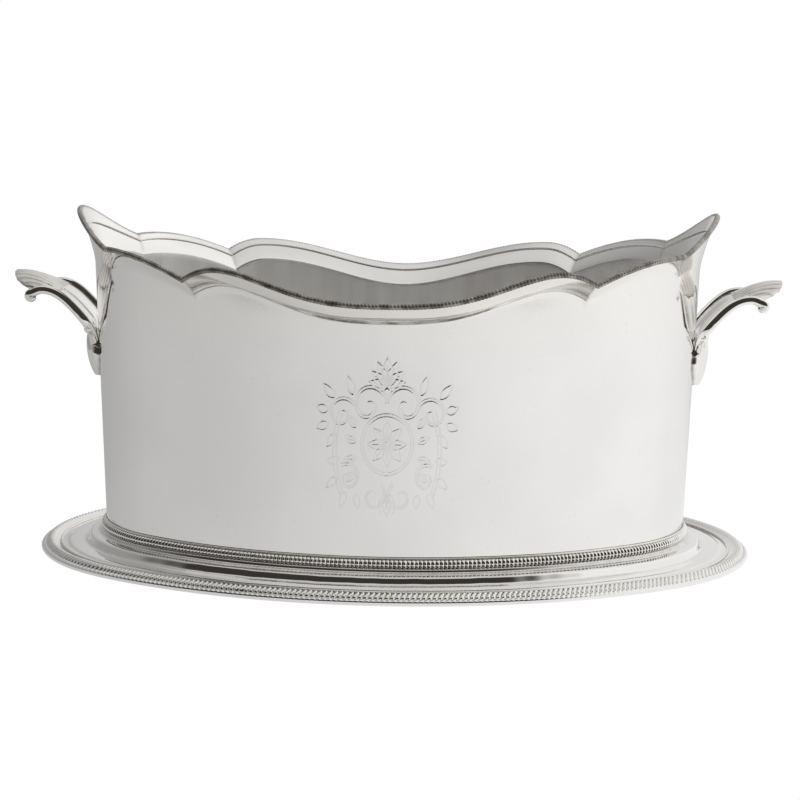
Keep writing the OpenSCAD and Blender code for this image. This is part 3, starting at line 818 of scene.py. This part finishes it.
for end, hand in ((-1, "left"), (1, "right")):
    # Two rails, each with a boss near its foot and an eye in its scroll.
    for side, place in ((-1, "front"), (1, "back")):
        bm = bmesh.new()
        draw_rod(bm, rail_curve, RAIL / 2, 16)
        boss = bmesh.ops.create_uvsphere(bm, u_segments=20, v_segments=12, radius=BOSS)["verts"]
        bmesh.ops.translate(bm, vec=(arm[3][0] + 1.5 * MM, rail_lean(3) + 1.6 * MM, arm[3][1] + 1.0 * MM),
                            verts=boss)
        eye = bmesh.ops.create_uvsphere(bm, u_segments=16, v_segments=10, radius=SCROLL_EYE)["verts"]
        bmesh.ops.scale(bm, vec=(1, 0.7, 1), verts=eye)
        bmesh.ops.translate(bm, vec=(scroll_at[0], RAIL_SIDE + 1.2 * MM, scroll_at[1]), verts=eye)
        mirrored(bm, end, side)
        points = points_of(bm)
        from_eye = np.hypot(np.abs(points[:, 0]) - scroll_at[0], points[:, 2] - scroll_at[1])
        finish_piece(bm, f"{hand}_{place}_rail", handle_silver, "plain_silver",
                     f"{hand}_rail_{place}", patina_and_shade=np.clip(1 - from_eye / (3 * MM), 0, 1) * 0.6)

    # The strap: a channelled band that sags between the rails.
    bm = bmesh.new()
    bmesh.ops.create_grid(bm, x_segments=STRAP_STEPS, y_segments=24, size=1)
    for vert in bm.verts:
        k = (vert.co.x + 1) / 2 * STRAP_STEPS
        low = int(min(STRAP_STEPS - 1, math.floor(k)))
        step = strap_line[low + 1] - strap_line[low]
        here = strap_line[low] + step * (k - low)
        forward = Vector((step[0], 0, step[2])).normalized()
        v = vert.co.y
        groove = 0.35 * MM * math.cos(3 * math.pi * v)
        sag = -2.6 * MM * (1 - v * v) + groove + 1.0 * MM
        vert.co = (here[0] - forward.z * sag, (here[1] - RAIL * 0.3) * v, here[2] + forward.x * sag)
    bmesh.ops.recalc_face_normals(bm, faces=bm.faces)
    bmesh.ops.solidify(bm, geom=bm.faces[:], thickness=STRAP_SHEET)
    mirrored(bm, end)
    points = points_of(bm)
    finish_piece(bm, f"{hand}_strap", handle_silver, "plain_silver", f"{hand}_strap",
                 patina_and_shade=np.clip(np.abs(points[:, 1]) / (24 * MM) - 0.75, 0, 1) * 1.6)

    # The shell: a ribbed fan that starts on the strap and covers the scrolls.
    bm = bmesh.new()
    bmesh.ops.create_grid(bm, x_segments=44, y_segments=108, size=1)
    for vert in bm.verts:
        r, v = (vert.co.x + 1) / 2, vert.co.y
        reach = (1 - abs(v) ** 2.6 * 0.86) ** 0.5
        rib = abs(math.cos(math.pi * SHELL_RIBS * v))
        tuck = 3.4 * MM * (1 - r) ** 5 * (1 - v * v)
        fluted = 1.5 * MM * math.sin(math.pi * (0.1 + 0.82 * r)) * (rib - 1) - tuck
        scallop = 1 - 0.006 * r * (1 - rib)
        x = (SHELL_START + (REACH_TIP - SHELL_START) * (0.02 + 0.98 * r * reach) * scallop
             - 0.5 * MM * (1 - r))
        y = RAIL_SIDE * v * (0.92 + 0.16 * math.sin(math.radians(160 * r)))
        z = (TIP_UP - SHELL_THICK / 2 - 9.5 * MM * (1 - r) ** 1.5 + 0.9 * MM
             - (2.2 + 9.2 * r ** 0.8) * MM * v * v - 1.6 * MM * r ** 3 + fluted + 1.0 * MM)
        vert.co = (x, y, z)
    bmesh.ops.recalc_face_normals(bm, faces=bm.faces)
    bmesh.ops.solidify(bm, geom=bm.faces[:], thickness=SHELL_SHEET)
    mirrored(bm, end)
    points = points_of(bm)
    shell_v = points[:, 1] / (RAIL_SIDE * 1.02)
    valley = np.clip(1 - 2.2 * np.abs(np.cos(np.pi * SHELL_RIBS * shell_v)), 0, 1)
    finish_piece(bm, f"{hand}_shell", shell_silver, "bright_silver", f"{hand}_shell", patina_and_shade=valley * 0.7)

    # The leaf: a fluted boss soldered flat on the wall; half of the grid is its face, half its back.
    bm = bmesh.new()
    bmesh.ops.create_grid(bm, x_segments=40, y_segments=120, size=1)
    for vert in bm.verts:
        q, v = (1 - vert.co.x) / 2, 1 - 2 * abs(vert.co.y)
        up = LEAF_TOP - LEAF_HIGH * q
        wall_radius = END_RADIUS + wall_out(up)
        half_width = LEAF_WIDE * math.sin(math.radians(20 + 152 * q)) ** 0.7
        proud = LEAF_PROUD * math.sin(math.radians(40 + 122 * q)) ** 0.35 * (1 - 0.22 * q)
        flute = 1 - 0.22 * (1 - abs(math.cos(3.5 * math.pi * v)))
        face = 0 if vert.co.y > 0 else proud * max(0, 1 - v * v) ** 0.5 * flute
        radius = wall_radius + face - 0.1 * MM
        angle = half_width / wall_radius * v
        vert.co = (END_CENTRE + radius * math.cos(angle), radius * math.sin(angle), up)
    bmesh.ops.remove_doubles(bm, verts=bm.verts, dist=TOUCHING)
    bmesh.ops.holes_fill(bm, edges=[e for e in bm.edges if e.is_boundary], sides=0)
    mirrored(bm, end)
    points = points_of(bm)
    off_wall = (np.hypot(np.abs(points[:, 0]) - END_CENTRE, points[:, 1])
                - END_RADIUS - wall_out(points[:, 2]))
    # The leaf is painted darker within 2 mm of the wall: painted shadow where it meets the wall.
    finish_piece(bm, f"{hand}_leaf", handle_silver, "plain_silver", f"{hand}_leaf",
                 patina_and_shade=np.clip(1 - off_wall / (2 * MM), 0, 1) * 0.8)

# Colours are shown as they are.
bpy.context.scene.view_settings.view_transform = "Standard"
